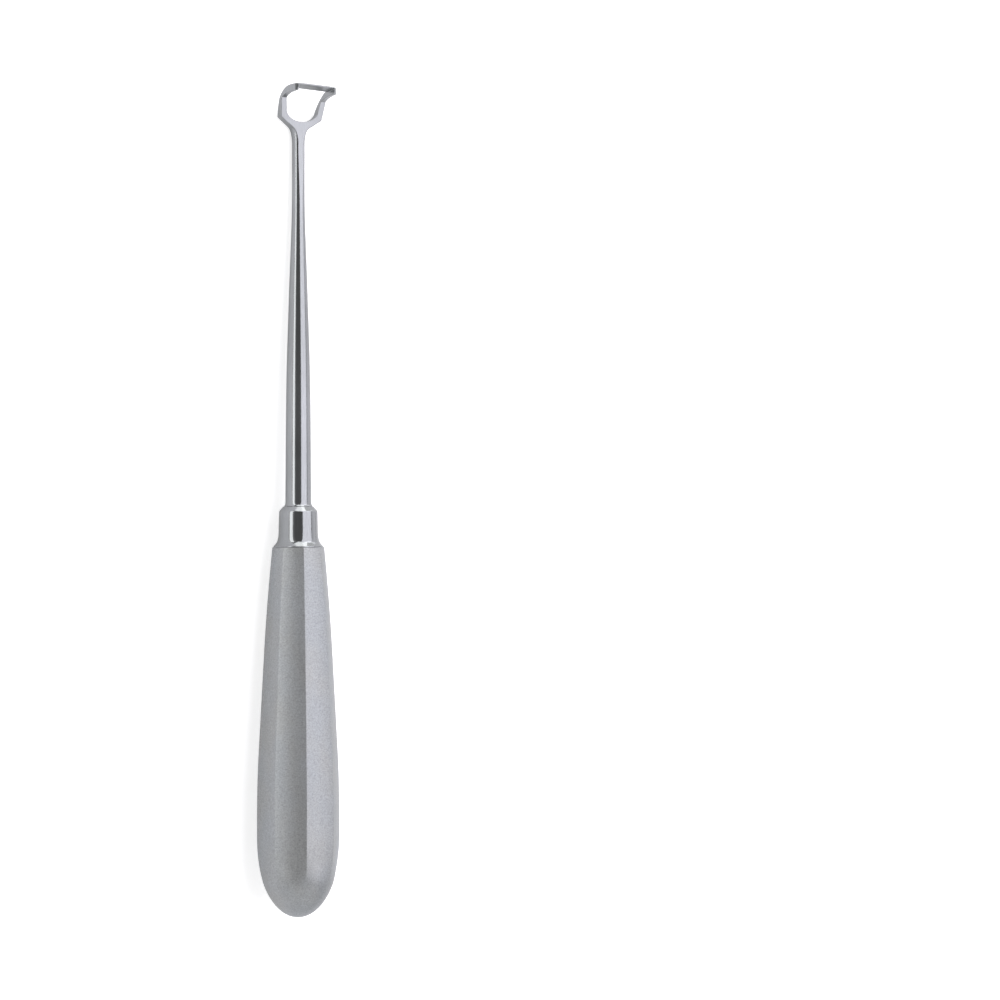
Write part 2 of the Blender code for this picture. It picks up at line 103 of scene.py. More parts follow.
def outline_distance(u: np.ndarray, v: np.ndarray, outline: Sequence[tuple[float, float]]) -> np.ndarray:
    """Signed distance to a closed flat outline.

    The distance is that to the nearest side, and the sign is negative where a ray crosses an odd
    number of sides.

    Args:
        u: First coordinate of the points.
        v: Second coordinate of the points, of a shape that broadcasts with u.
        outline: Corners in order.

    Returns:
        Distances in the common shape, negative inside.
    """
    u, v = np.broadcast_arrays(u, v)
    nearest = np.full(u.shape, np.inf)
    inside = np.zeros(u.shape, bool)
    corners = np.array(outline, float)
    for (u0, v0), (u1, v1) in zip(corners, np.roll(corners, -1, axis=0)):
        du, dv = u1 - u0, v1 - v0
        length = du * du + dv * dv
        if length == 0.0:
            continue
        share = np.clip(((u - u0) * du + (v - v0) * dv) / length, 0.0, 1.0)
        nearest = np.minimum(nearest, (u - u0 - share * du) ** 2 + (v - v0 - share * dv) ** 2)
        if dv != 0.0:
            inside ^= ((v0 > v) != (v1 > v)) & (u < (v - v0) * du / dv + u0)
    return np.where(inside, -1.0, 1.0) * np.sqrt(nearest)


@dataclass(frozen=True)
class Curve:
    """A smooth radius along the tool: cubic spans between (place, radius, slope) stations."""

    stations: tuple[tuple[float, float, float], ...]

    def at(self, places: np.ndarray) -> np.ndarray:
        """Radii at the places, each span a cubic Hermite piece, held constant beyond the ends."""
        knots = np.array(self.stations, float)
        clipped = np.clip(places, knots[0, 0], knots[-1, 0])
        index = np.clip(np.searchsorted(knots[:, 0], clipped, side="right") - 1, 0, len(knots) - 2)
        start, end = knots[index], knots[index + 1]
        span = end[..., 0] - start[..., 0]
        t = (clipped - start[..., 0]) / span
        rise = 3 * t**2 - 2 * t**3
        bend = start[..., 2] * t * (1 - t) ** 2 - end[..., 2] * t**2 * (1 - t)
        return start[..., 1] + (end[..., 1] - start[..., 1]) * rise + span * bend


@dataclass(frozen=True)
class Rest:
    """How the tool lies: the rest facet of the handle and the heel of the neck touch the floor."""

    tilt: float = math.atan(REST_SLOPE)
    back: float = 109.333

    @property
    def lift(self) -> float:
        """Height of the tool's axis at the butt, which puts the rest facet on the floor."""
        apothem = TAPER_RADIUS * math.cos(FACET_HALF_ANGLE)
        return TAPER_FROM_BUTT * math.sin(self.tilt) + apothem * math.cos(self.tilt)

    def turn(self, vectors: np.ndarray) -> np.ndarray:
        """Directions (x, a, f) of the tool as world directions."""
        x, a, f = np.moveaxis(np.asarray(vectors, float), -1, 0)
        cos, sin = math.cos(self.tilt), math.sin(self.tilt)
        return np.stack([x, a * cos + f * sin, f * cos - a * sin], axis=-1)

    def place(self, points: np.ndarray) -> np.ndarray:
        """Points (x, a, f) of the tool in millimetres as world points in metres."""
        return (self.turn(points) + np.array([0.0, -self.back, self.lift])) / METRE


REST = Rest()


class Socket:
    """An output of a shader node, with arithmetic that adds Math nodes."""

    def __init__(self, graph: "Graph", output: bpy.types.NodeSocket) -> None:
        self.graph = graph
        self.output = output

    def _math(self, operation: str, *values: "Socket | float") -> "Socket":
        """A Math node of these values."""
        return self.graph.node("ShaderNodeMath", {"operation": operation}, dict(enumerate(values)))

    def __add__(self, other: "Socket | float") -> "Socket":
        """Sum."""
        return self._math("ADD", self, other)

    def __radd__(self, other: float) -> "Socket":
        """Sum with a number first."""
        return self._math("ADD", other, self)

    def __sub__(self, other: "Socket | float") -> "Socket":
        """Difference."""
        return self._math("SUBTRACT", self, other)

    def __rsub__(self, other: float) -> "Socket":
        """Difference with a number first."""
        return self._math("SUBTRACT", other, self)

    def __mul__(self, other: "Socket | float") -> "Socket":
        """Product."""
        return self._math("MULTIPLY", self, other)

    def __rmul__(self, other: float) -> "Socket":
        """Product with a number first."""
        return self._math("MULTIPLY", other, self)

    def larger(self, other: "Socket | float") -> "Socket":
        """The larger of two values."""
        return self._math("MAXIMUM", self, other)

    def smoothly(self, low: float, high: float) -> "Socket":
        """0 below low, 1 above high, and a smooth step between."""
        values = {"Value": self, "From Min": low, "From Max": high}
        return self.graph.node("ShaderNodeMapRange", {"interpolation_type": "SMOOTHSTEP"}, values)


@dataclass
class Graph:
    """A node tree that is filled from one method."""

    tree: bpy.types.NodeTree

    def node(
        self,
        kind: str,
        settings: dict[str, object] | None = None,
        values: dict[str | int, object] | None = None,
        output: str | int = 0,
    ) -> Socket:
        """Add a node.

        Args:
            kind: Type of the node.
            settings: Its properties.
            values: Its inputs, each a number, a colour or vector, or a Socket to link.
            output: Which output is returned.

        Returns:
            The chosen output.
        """
        made = self.tree.nodes.new(kind)
        for name, value in (settings or {}).items():
            setattr(made, name, value)
        for name, value in (values or {}).items():
            if isinstance(value, Socket):
                self.tree.links.new(value.output, made.inputs[name])
            else:
                made.inputs[name].default_value = value
        return Socket(self, made.outputs[output])

    def stretched(self, scale: tuple[float, float, float]) -> Socket:
        """Object coordinates times a scale for each axis."""
        place = self.node("ShaderNodeTexCoord", output="Object")
        return self.node("ShaderNodeVectorMath", {"operation": "MULTIPLY"}, {0: place, 1: scale})

    def noise(self, scale: tuple[float, float, float], detail: float) -> Socket:
        """Noise from 0 to 1 whose features are about one over the scale, in metres."""
        values = {"Vector": self.stretched(scale), "Scale": 1.0, "Detail": detail}
        return self.node("ShaderNodeTexNoise", values=values)

    def mixed(
        self, share: Socket, first: Socket | tuple[float, ...], second: Socket | tuple[float, ...]
    ) -> Socket:
        """A colour between two colours."""
        values = {MIX_SHARE: share, MIX_FIRST: first, MIX_SECOND: second}
        return self.node("ShaderNodeMix", {"data_type": "RGBA"}, values, output=MIX_RESULT)


class Lay(Enum):
    """Which way the fine marks of a finish run, as their scale across, along and up, per metre."""

    BLASTED = (2700.0, 2700.0, 2700.0)
    LENGTHWISE = (5200.0, 190.0, 5200.0)


@dataclass(frozen=True)
class SteelFinish:
    """A stainless steel finish: two near tones in soft patches, fine marks, and wear in the gloss."""

    name: str
    bright: tuple[float, float, float]
    dull: tuple[float, float, float]
    roughness: float
    spread: float
    lay: Lay
    mark_depth: float
    mark_tone: float
    metallic: float
    brushed: float = 0.0
    brushed_over: tuple[float, float] = (0.092, 0.098)
    patches: tuple[float, float, float] = (110.0, 60.0, 110.0)
    patch_edges: tuple[float, float] = (0.32, 0.68)
    patch_detail: float = 3.0
    mark_detail: float = 2.0

    def build(self) -> bpy.types.Material:
        """The material: patches tint the steel and vary its gloss, and fine marks bump it.

        A brushed finish grows rougher towards the head, over a stretch of the world's y in metres.
        """
        made = bpy.data.materials.new(self.name)
        made.use_nodes = True
        graph = Graph(made.node_tree)
        shader = made.node_tree.nodes["Principled BSDF"]
        shader.inputs["Metallic"].default_value = self.metallic
        patch = graph.noise(self.patches, self.patch_detail).smoothly(*self.patch_edges)
        marks = graph.noise(self.lay.value, self.mark_detail)
        tinted = graph.mixed(patch, (*self.dull, 1.0), (*self.bright, 1.0))
        tone = 1.0 + self.mark_tone * (marks - NOISE_MIDDLE)
        colour = graph.node("ShaderNodeVectorMath", {"operation": "SCALE"}, {0: tinted, "Scale": tone})
        gloss = self.roughness + self.spread * (marks - NOISE_MIDDLE) + self.spread * (patch - NOISE_MIDDLE)
        if self.brushed:
            place = graph.node("ShaderNodeTexCoord", output="Object")
            along = graph.node("ShaderNodeSeparateXYZ", values={0: place}, output="Y")
            gloss = gloss + self.brushed * along.smoothly(*self.brushed_over)
        bump = {"Strength": 1.0, "Distance": self.mark_depth / METRE, "Height": marks}
        normal = graph.node("ShaderNodeBump", values=bump)
        links = {"Base Color": colour, "Roughness": gloss, "Normal": normal}
        for name, socket in links.items():
            made.node_tree.links.new(socket.output, shader.inputs[name])
        return made


SATIN = SteelFinish(
    name="satin_steel",
    bright=(0.372, 0.388, 0.404),
    dull=(0.368, 0.374, 0.374),
    roughness=0.43,
    spread=0.06,
    lay=Lay.BLASTED,
    mark_depth=0.020,
    mark_tone=0.9,
    metallic=0.65,
)
POLISHED = SteelFinish(
    name="polished_steel",
    bright=(0.354, 0.364, 0.374),
    dull=(0.320, 0.330, 0.336),
    roughness=0.14,
    spread=0.05,
    lay=Lay.LENGTHWISE,
    mark_depth=0.0006,
    mark_tone=0.28,
    metallic=1.0,
    brushed=0.15,
)


@dataclass
class Piece:
    """A real piece of the tool: it builds its mesh, and is dressed and tied to the frame."""

    name: str
    node: str
    slot: str
    finish: SteelFinish

    def surface(self) -> tuple[np.ndarray, np.ndarray, np.ndarray | None]:
        """Points in the tool's frame, faces, and normals where the piece knows them exactly."""
        raise NotImplementedError

    def build(self) -> bpy.types.Object:
        """The object, its faces outwards, riding on the frame in place of its node."""
        points, faces, normals = self.surface()
        faces = outwards(points, faces)
        mesh = bpy.data.meshes.new(self.name)
        mesh.from_pydata(REST.place(points), [], faces.tolist())
        mesh.validate()
        mesh.shade_smooth()
        if normals is not None:
            mesh.normals_split_custom_set_from_vertices(REST.turn(normals))
        made = bpy.data.objects.new(self.name, mesh)
        bpy.context.scene.collection.objects.link(made)
        mesh.materials.append(self.finish.build())
        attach(made, "root")
        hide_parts(self.node)
        LOG.info("%s: %d points, %d faces", self.name, len(points), len(faces))
        return made


def outwards(points: np.ndarray, faces: np.ndarray) -> np.ndarray:
    """The faces of a closed mesh, all turned over if its volume comes out negative."""
    first, second, third, fourth = (points[faces[:, i]] for i in range(4))
    volume = np.einsum("ij,ij->", first, np.cross(second, third))
    volume += np.einsum("ij,ij->", first, np.cross(third, fourth))
    return faces if volume > 0 else faces[:, ::-1]


def grid_faces(rows: int, columns: int, closed_rows: bool) -> np.ndarray:
    """Quads of a grid whose columns close on themselves, and whose rows may too."""
    row = np.arange(rows if closed_rows else rows - 1)[:, None]
    column = np.arange(columns)[None, :]
    here, next_row = row * columns, (row + 1) % rows * columns
    beside = (column + 1) % columns
    corners = [here + column, here + beside, next_row + beside, next_row + column]
    return np.stack(np.broadcast_arrays(*corners), axis=-1).reshape(-1, 4)


@dataclass
class Handle(Piece):
    """The hollow handle: eight facets from a blunt round butt, over a belly, down to an open mouth."""

    dome_length: float = 22.0
    dome_power: float = 2.25
    belly_from_butt: float = 27.0
    belly_radius: float = 11.08
    taper_length: float = 26.0
    mouth_radius: float = 6.98
    mouth_slope: float = -0.10
    wall: float = 1.2
    rim_round: float = 0.1
    edge_sharpness: float = 200.0
    facets_end: tuple[float, float] = (8.0, 17.0)
    crown: float = 0.40
    columns_per_facet: int = 24
    dome_rows: int = 56
    body_rows: int = 90
    rim_rows: int = 6
    bore_rows: int = 24
    pole: float = 0.03

    def corner_radius(self, a: np.ndarray) -> np.ndarray:
        """Radius over the corners: even to the belly, a straight taper, then a curve to the mouth."""
        slope = -REST_SLOPE / math.cos(FACET_HALF_ANGLE)
        taper_end = TAPER_FROM_BUTT + self.taper_length
        stations = (
            (0.0, self.belly_radius, 0.0),
            (self.belly_from_butt, self.belly_radius, 0.0),
            (TAPER_FROM_BUTT, TAPER_RADIUS, slope),
            (taper_end, TAPER_RADIUS + self.taper_length * slope, slope),
            (HANDLE_LENGTH, self.mouth_radius, self.mouth_slope),
        )
        return Curve(stations).at(a)

    def dome(self, a: np.ndarray) -> np.ndarray:
        """Share of the belly's radius that the blunt round butt leaves, a superellipse."""
        rest = np.clip(1 - a / self.dome_length, 0.0, 1.0)
        return np.sqrt(1 - rest**self.dome_power)

    def radius(self, angle: np.ndarray, a: np.ndarray) -> np.ndarray:
        """Outer radius: a soft octagon scaled by the corner radius and dome, round below the facets."""
        turns = angle[..., None] - np.arange(FACETS) * 2 * FACET_HALF_ANGLE
        facing = np.maximum(np.cos(turns), 0.0)
        power = self.edge_sharpness
        rounded = np.sum(facing**power, axis=-1) ** (-1 / power)
        octagon = math.cos(FACET_HALF_ANGLE) * rounded
        low, high = self.facets_end
        t = np.clip((a - low) / (high - low), 0.0, 1.0)
        faceted = t * t * (3 - 2 * t)
        return self.corner_radius(a) * self.dome(a) * (1 + faceted * (octagon - 1))

    def angles(self) -> np.ndarray:
        """Angles around, from the front facet's middle, closer together at the facets' edges."""
        share = np.linspace(-1, 1, self.columns_per_facet, endpoint=False)
        within = FACET_HALF_ANGLE * np.sin(share * math.pi / 2)
        return (np.arange(FACETS)[:, None] * 2 * FACET_HALF_ANGLE + within[None, :]).ravel()

    def surface(self) -> tuple[np.ndarray, np.ndarray, np.ndarray | None]:
        """Rings up the outside, round the rim and back down the bore, closed by a tiny cap each end."""
        turn = np.linspace(0, math.pi / 2, self.dome_rows, endpoint=False)[2:]
        dome = self.dome_length * (1 - np.cos(turn))
        body = np.linspace(self.dome_length, HANDLE_LENGTH - self.rim_round, self.body_rows)
        rim = np.linspace(0, math.pi, 2 * self.rim_rows + 1)[1:-1]
        bore = np.linspace(HANDLE_LENGTH - self.rim_round, 2 * self.wall, self.bore_rows)
        a = np.concatenate([dome, body, HANDLE_LENGTH - self.rim_round * (1 - np.sin(rim)), bore])
        flat = self.wall - 2 * self.rim_round
        turned_in = self.rim_round * (1 - np.cos(rim)) + np.where(rim > math.pi / 2, flat, 0.0)
        inset = np.concatenate([np.zeros(len(dome) + len(body)), turned_in, np.full(len(bore), self.wall)])
        angle = self.angles()
        radius = self.radius(angle[None, :] + 0 * a[:, None], a[:, None] + 0 * angle[None, :])
        radius = np.maximum(radius - inset[:, None], self.pole)
        across, forward = radius * np.sin(angle), radius * np.cos(angle)
        grid = np.stack([across, a[:, None] + 0 * across, forward], axis=-1)
        normals = self.crowned(grid, angle, inset == 0.0).reshape(-1, 3)
        points, faces = self.capped(
            grid.reshape(-1, 3), grid_faces(len(a), len(angle), closed_rows=False), len(a), len(angle)
        )
        return points, faces, np.vstack([normals, [0.0, -1.0, 0.0], [0.0, 1.0, 0.0]])

    def crowned(self, grid: np.ndarray, angle: np.ndarray, outer: np.ndarray) -> np.ndarray:
        """Normals of the grid, turned a little towards round on the outside, as on crowned facets."""
        around = np.roll(grid, -1, axis=1) - np.roll(grid, 1, axis=1)
        normals = np.cross(around, np.gradient(grid, axis=0))
        normals /= np.linalg.norm(normals, axis=-1, keepdims=True)
        sideways = normals[..., [0, 2]]
        size = np.linalg.norm(sideways, axis=-1, keepdims=True)
        radial = np.stack([np.sin(angle), np.cos(angle)], axis=-1)[None]
        share = self.crown * outer[:, None, None]
        turned = (1 - share) * sideways / np.maximum(size, TINY) + share * radial
        length = np.linalg.norm(turned, axis=-1, keepdims=True)
        normals[..., [0, 2]] = size * turned / np.maximum(length, TINY)
        return normals

    def capped(
        self, points: np.ndarray, faces: np.ndarray, rows: int, columns: int
    ) -> tuple[np.ndarray, np.ndarray]:
        """Close the first and last ring with quads of two neighbours and a middle point."""
        even = np.arange(0, columns, 2)
        third = (even + 2) % columns
        middle = np.full(len(even), len(points))
        first_ring = np.stack([third, even + 1, even, middle], axis=-1)
        last = (rows - 1) * columns
        last_ring = np.stack([last + even, last + even + 1, last + third, middle + 1], axis=-1)
        middles = [points[:columns].mean(axis=0), points[last : last + columns].mean(axis=0)]
        return np.vstack([points, middles]), np.vstack([faces, first_ring, last_ring])


@dataclass
class Ferrule(Piece):
    """The turned ferrule: flange, flare, barrel and rounded shoulder, with a spigot in the handle."""

    flange_radius: float = 6.6
    flange_thickness: float = 0.34
    flare_length: float = 5.04
    flare_pulls: tuple[float, float] = (0.75, 0.2)
    rim_round: float = 0.16
    barrel_base_radius: float = 5.18
    barrel_top_radius: float = 5.08
    barrel_length: float = 3.7
    shoulder_length: float = 1.6
    shoulder_top_radius: float = 4.0
    spigot_length: float = 12.0
    spigot_radius: float = 4.9
    bore: float = 2.9
    edge_round: float = 0.05
    largest_share: float = 0.45
    curve_steps: int = 28
    round_steps: int = 5
    columns: int = 160

    def profile(self) -> list[tuple[float, float]]:
        """(radius, a) round the section, from the bore's top over the outside to the spigot's end."""
        flange_top = FERRULE_FOOT + self.flange_thickness
        barrel_base = flange_top + self.flare_length
        shoulder = barrel_base + self.barrel_length
        top = shoulder + self.shoulder_length
        corner = (self.barrel_top_radius, shoulder + self.shoulder_length / 4)
        spread = (self.flange_radius - self.barrel_base_radius) / 4
        down = [
            (self.barrel_base_radius, barrel_base),
            (self.barrel_base_radius, barrel_base - self.flare_pulls[0] * self.flare_length),
            (self.barrel_base_radius + spread, flange_top + self.flare_pulls[1] * self.flare_length),
            (self.flange_radius - self.rim_round, flange_top),
        ]
        points = [(self.bore, top), (self.shoulder_top_radius, top)]
        over = [points[-1], corner, corner, (self.barrel_top_radius, shoulder)]
        points += bezier(over, self.curve_steps) + [down[0]] + bezier(down, self.curve_steps)
        outermost = (self.flange_radius, flange_top - self.flange_thickness / 4)
        rim = [
            down[-1],
            outermost,
            (self.flange_radius, outermost[1] - self.rim_round),
            (self.flange_radius - self.rim_round / 2, FERRULE_FOOT),
        ]
        points += bezier(rim, self.round_steps) + [(self.spigot_radius, FERRULE_FOOT)]
        end = FERRULE_FOOT - self.spigot_length
        return points + [(self.spigot_radius, end), (self.bore, end)]

    def softened(self, outline: list[tuple[float, float]]) -> np.ndarray:
        """The outline with each corner replaced by a small parabola between its two sides."""
        corners = np.array(outline)
        before, after = np.roll(corners, 1, axis=0) - corners, np.roll(corners, -1, axis=0) - corners
        reach = [
            np.minimum(self.largest_share, self.edge_round / np.linalg.norm(side, axis=1))[:, None]
            for side in (before, after)
        ]
        start, end = corners + before * reach[0], corners + after * reach[1]
        t = np.linspace(0, 1, self.round_steps)[None, :, None]
        curve = (1 - t) ** 2 * start[:, None] + 2 * t * (1 - t) * corners[:, None] + t**2 * end[:, None]
        return curve.reshape(-1, 2)

    def surface(self) -> tuple[np.ndarray, np.ndarray, np.ndarray | None]:
        """The softened section turned about the tool's axis."""
        radius, a = self.softened(self.profile()).T
        angle = np.linspace(0, 2 * math.pi, self.columns, endpoint=False)[None, :]
        across, forward = radius[:, None] * np.sin(angle), radius[:, None] * np.cos(angle)
        points = np.stack([across, a[:, None] + 0 * across, forward], axis=-1).reshape(-1, 3)
        return points, grid_faces(len(radius), self.columns, closed_rows=True), None


@dataclass
class Shaft:
    """The round part of the forging: hidden tang, foot, waist, taper and flattened neck."""

    tang_radius: float = 2.8
    tang_end: float = 70.6
    tang_lap: float = 1.0
    foot_radius: float = 3.9
    foot_fillet: float = 1.6
    foot_power: float = 4.0
    base_radius: float = 3.44
    waist: tuple[float, float] = (32.4, 3.15)
    taper: tuple[float, float] = (55.4, 2.49)
    neck_start: tuple[float, float] = (78.9, 1.71)
    flat_length: float = 26.0
    flat_start: float = 6.0
    flat_soft: float = 0.09
    foot_soft: float = 0.24
    cad_foot: float = 108.6

    def radius(self, a: np.ndarray) -> np.ndarray:
        """Radius of the shaft: a straight waist and taper to the slim neck, flared at its foot."""
        fall = (self.neck_start[1] - self.waist[1]) / (self.neck_start[0] - self.waist[0])
        base_slope = (self.waist[1] - self.base_radius) / self.waist[0]
        neck_end = NECK_END - self.cad_foot
        end_slope = (NECK_RADIUS - self.neck_start[1]) / (neck_end - self.neck_start[0])
        stations = (
            (0.0, self.base_radius, base_slope),
            (*self.waist, fall / 2),
            (*self.taper, fall),
            (*self.neck_start, fall / 2),
            (neck_end, NECK_RADIUS, end_slope),
        )
        rest = np.clip(1 - (a - SHAFT_FOOT) / self.foot_fillet, 0.0, 1.0)
        flare = (self.foot_radius - self.base_radius) * rest**self.foot_power
        return Curve(stations).at(a - self.cad_foot) + flare

    def distance(self, x: np.ndarray, a: np.ndarray, f: np.ndarray) -> np.ndarray:
        """Distance to the shaft and tang, with the flat ground on the front of the neck."""
        r = np.sqrt(x * x + f * f)
        below = np.maximum(NECK_END - a, 0.0)
        fade = (self.taper[1] - FRONT_PLANE) / (NECK_END - self.cad_foot - self.taper[0])
        eased = below * below / (below + self.flat_start)
        plane = FRONT_PLANE + eased * fade + np.maximum(below - self.flat_length, 0.0) * fade
        shaft = smooth_max(r - self.radius(a), f - plane, self.flat_soft)
        shaft = smooth_max(shaft, SHAFT_FOOT - a, self.foot_soft)
        shaft = np.maximum(shaft, a - NECK_END)
        tang = np.maximum(r - self.tang_radius, self.tang_end - a)
        tang = np.maximum(tang, a - SHAFT_FOOT - self.tang_lap)
        return np.minimum(shaft, tang)


@dataclass
class Head:
    """The head: a fork that opens into a frame, bends forward and ends in the blade over a window."""

    fork_height: float = 4.8
    fork_half_width: float = 3.0
    fork_flare: float = 2.5
    corner: tuple[float, float] = (6.41, 6.9)
    crease: tuple[float, float] = (7.05, 11.8)
    crease_reach: float = 2.62
    lean_start: float = 6.3
    heel_lean: float = math.radians(6.0)
    spine: tuple[float, float] = (0.44, 9.6)
    spine_lean: float = math.radians(23.0)
    edge_height: float = 15.0
    edge_reach: float = 8.85
    edge_grind: float = 0.25
    edge_half_width: float = 6.35
    edge_thickness: float = 0.45
    edge_arch: float = 0.3
    edge_chamfer: float = 0.75
    cheek_depth: float = 2.0
    window_bottom: float = 6.1
    window_arc: float = 2.9
    window_half_width: float = 4.88
    window_top_half_width: float = 5.35
    plate_reach: float = 5.6
    plate_thickness: float = 0.6
    plate_lap: float = 0.2
    fork_pulls: tuple[float, float] = (0.55, 0.45)
    flare_power: float = 2.2
    root_lap: float = 0.3
    arch_power: int = 4
    spine_pulls: tuple[float, float] = (0.31, 0.78)
    bend_pull: float = 0.62
    bend_drop: float = 0.035
    cheek_inset: float = 0.35
    cheek_top_pull: tuple[float, float] = (0.4, 0.01)
    cheek_foot_pull: tuple[float, float] = (0.16, 0.13)
    draw_in_power: float = 1.6
    clearance: float = 0.3
    beyond: float = 30.0
    steps: int = 20
    frame_soft: float = 0.24
    window_soft: float = 0.18
    fork_soft: float = 0.25
    outlines: dict[str, list[tuple[float, float]]] = field(default_factory=dict)

    def __post_init__(self) -> None:
        """Draw the five outlines once."""
        self.outlines = {
            "front": self.front(),
            "side": self.side(),
            "plan": self.plan(),
            "window_front": self.window_front(),
            "window_side": self.window_side(),
        }

    def front(self) -> list[tuple[float, float]]:
        """(x, a) from the front: fork, flanks, corners, arms and the slightly arched top."""
        flat = math.sqrt(NECK_RADIUS**2 - FRONT_PLANE**2)
        fork = (self.fork_half_width, NECK_END + self.fork_height)
        slope = (self.corner[1] - self.fork_height) / (self.corner[0] - self.fork_half_width)
        pull = self.fork_pulls[1] * self.fork_half_width
        low = (flat, NECK_END)
        handles = [
            low,
            (flat, NECK_END + self.fork_pulls[0] * self.fork_height),
            (fork[0] - pull, fork[1] - pull * slope),
            fork,
        ]
        arms = [(self.corner[0], NECK_END + self.corner[1]), (self.crease[0], NECK_END + self.crease[1])]
        shares = np.linspace(1.0, 0.0, self.steps + 1)[:-1]
        edge = NECK_END + self.edge_height
        top = [(self.crease[0] * s, edge - self.edge_arch * s**self.arch_power) for s in shares]
        return mirrored([(flat, NECK_END - NECK_RADIUS), low] + bezier(handles, self.steps) + arms + top)

    def side(self) -> list[tuple[float, float]]:
        """(f, a) from the side: heel, leaning spine, bend, cutting edge, cheek and front."""
        edge = NECK_END + self.edge_height
        spine = (self.spine[0], NECK_END + self.spine[1])
        lower = self.spine_pulls[0] * self.spine[1]
        upper = self.spine_pulls[1] * (self.edge_height - self.spine[1])
        tip = (self.edge_reach - self.edge_grind, edge)
        run = self.bend_pull * (tip[0] - self.spine[0])
        rise = (math.sin(self.heel_lean), math.cos(self.heel_lean))
        lean = (math.sin(self.spine_lean), math.cos(self.spine_lean))
        heel = (-NECK_RADIUS, NECK_END)
        back = [
            heel,
            (heel[0] + rise[0] * lower, heel[1] + rise[1] * lower),
            (spine[0] - lean[0] * lower, spine[1] - lean[1] * lower),
            spine,
        ]
        bend = [
            spine,
            (spine[0] + lean[0] * upper, spine[1] + lean[1] * upper),
            (tip[0] - run, tip[1] - self.bend_drop * run),
            tip,
        ]
        reach = self.edge_reach - self.crease_reach
        crease = (self.crease_reach, NECK_END + self.crease[1])
        front = (self.edge_reach - self.cheek_inset, edge - self.cheek_depth)
        top_pull, foot_pull = self.cheek_top_pull, self.cheek_foot_pull
        cheek = [
            front,
            (front[0] - top_pull[0] * reach, front[1] - top_pull[1] * reach),
            (crease[0] + foot_pull[0] * reach, crease[1] + foot_pull[1] * reach),
            crease,
        ]
        spine_points = bezier(back, self.steps) + bezier(bend, 2 * self.steps)
        foot = NECK_END - NECK_RADIUS
        tail = [(FRONT_PLANE, NECK_END + self.lean_start), (FRONT_PLANE, foot)]
        edge_foot = (self.edge_reach, edge - self.edge_thickness)
        front_points = [edge_foot, front] + bezier(cheek, self.steps) + tail
        return [(-NECK_RADIUS, foot), heel] + spine_points + front_points

    def plan(self) -> list[tuple[float, float]]:
        """(x, f) from above: parallel behind the crease, drawn in to the chamfers of the blade's corners."""
        run = self.edge_reach - self.crease_reach
        draw_in = self.crease[0] - self.edge_half_width
        shares = np.linspace(0.0, 1.0 - self.edge_chamfer / run, self.steps + 1)
        sides = [
            (self.crease[0] - draw_in * s**self.draw_in_power, self.crease_reach + run * s)
            for s in shares
        ]
        clear = self.clearance
        corner = [(self.edge_half_width - self.edge_chamfer - clear, self.edge_reach + clear)]
        behind = self.crease[0] + clear
        return mirrored([(behind, -self.beyond), (behind, self.crease_reach)] + sides + corner)

    def window_front(self) -> list[tuple[float, float]]:
        """(x, a) of the window from the front: half an ellipse, then sides that open upwards."""
        centre = NECK_END + self.window_bottom + self.window_arc
        turns = np.linspace(0.0, math.pi / 2, self.steps + 1)[1:]
        arc = [(self.window_half_width * math.sin(t), centre - self.window_arc * math.cos(t)) for t in turns]
        widest = self.edge_half_width - self.edge_chamfer
        sides = [
            (self.window_top_half_width, NECK_END + self.crease[1]),
            (widest, NECK_END + self.edge_height - self.cheek_depth),
            (widest, NECK_END + self.beyond),
        ]
        return mirrored(arc + sides) + [(0.0, centre - self.window_arc)]

    def window_side(self) -> list[tuple[float, float]]:
        """(f, a) of the window from the side: through the frame, and stopped under the plate."""
        edge = NECK_END + self.edge_height
        front = (self.edge_reach, edge - self.edge_thickness)
        back = (self.plate_reach, front[1] - self.plate_thickness)
        rise = (front[1] - back[1]) / (front[0] - back[0])
        far = (front[0] + self.beyond, front[1] + self.beyond * rise)
        top = NECK_END + self.beyond
        return [
            (-self.beyond, NECK_END),
            (far[0], NECK_END),
            far,
            back,
            (self.plate_reach - self.plate_lap, top),
            (-self.beyond, top),
        ]

    def distance(self, x: np.ndarray, a: np.ndarray, f: np.ndarray) -> np.ndarray:
        """Distance to the outlines crossed, with the fork flared into the neck and the window cut."""
        drawn = self.outlines
        up = np.clip((a - NECK_END) / self.fork_height, 0.0, 1.0)
        flare = NECK_RADIUS + (self.fork_flare - NECK_RADIUS) * up**self.flare_power
        root = np.sqrt(x * x + f * f) - flare
        root = np.maximum(root, a - NECK_END - self.fork_height)
        root = np.maximum(root, NECK_END - self.root_lap - a)
        blank = smooth_min(outline_distance(x, a, drawn["front"]), root, self.fork_soft)
        blank = smooth_max(blank, outline_distance(f, a, drawn["side"]), self.frame_soft)
        blank = smooth_max(blank, outline_distance(x, f, drawn["plan"]), self.frame_soft)
        window = smooth_max(
            outline_distance(x, a, drawn["window_front"]),
            outline_distance(f, a, drawn["window_side"]),
            self.window_soft,
        )
        return smooth_max(blank, -window, self.window_soft)


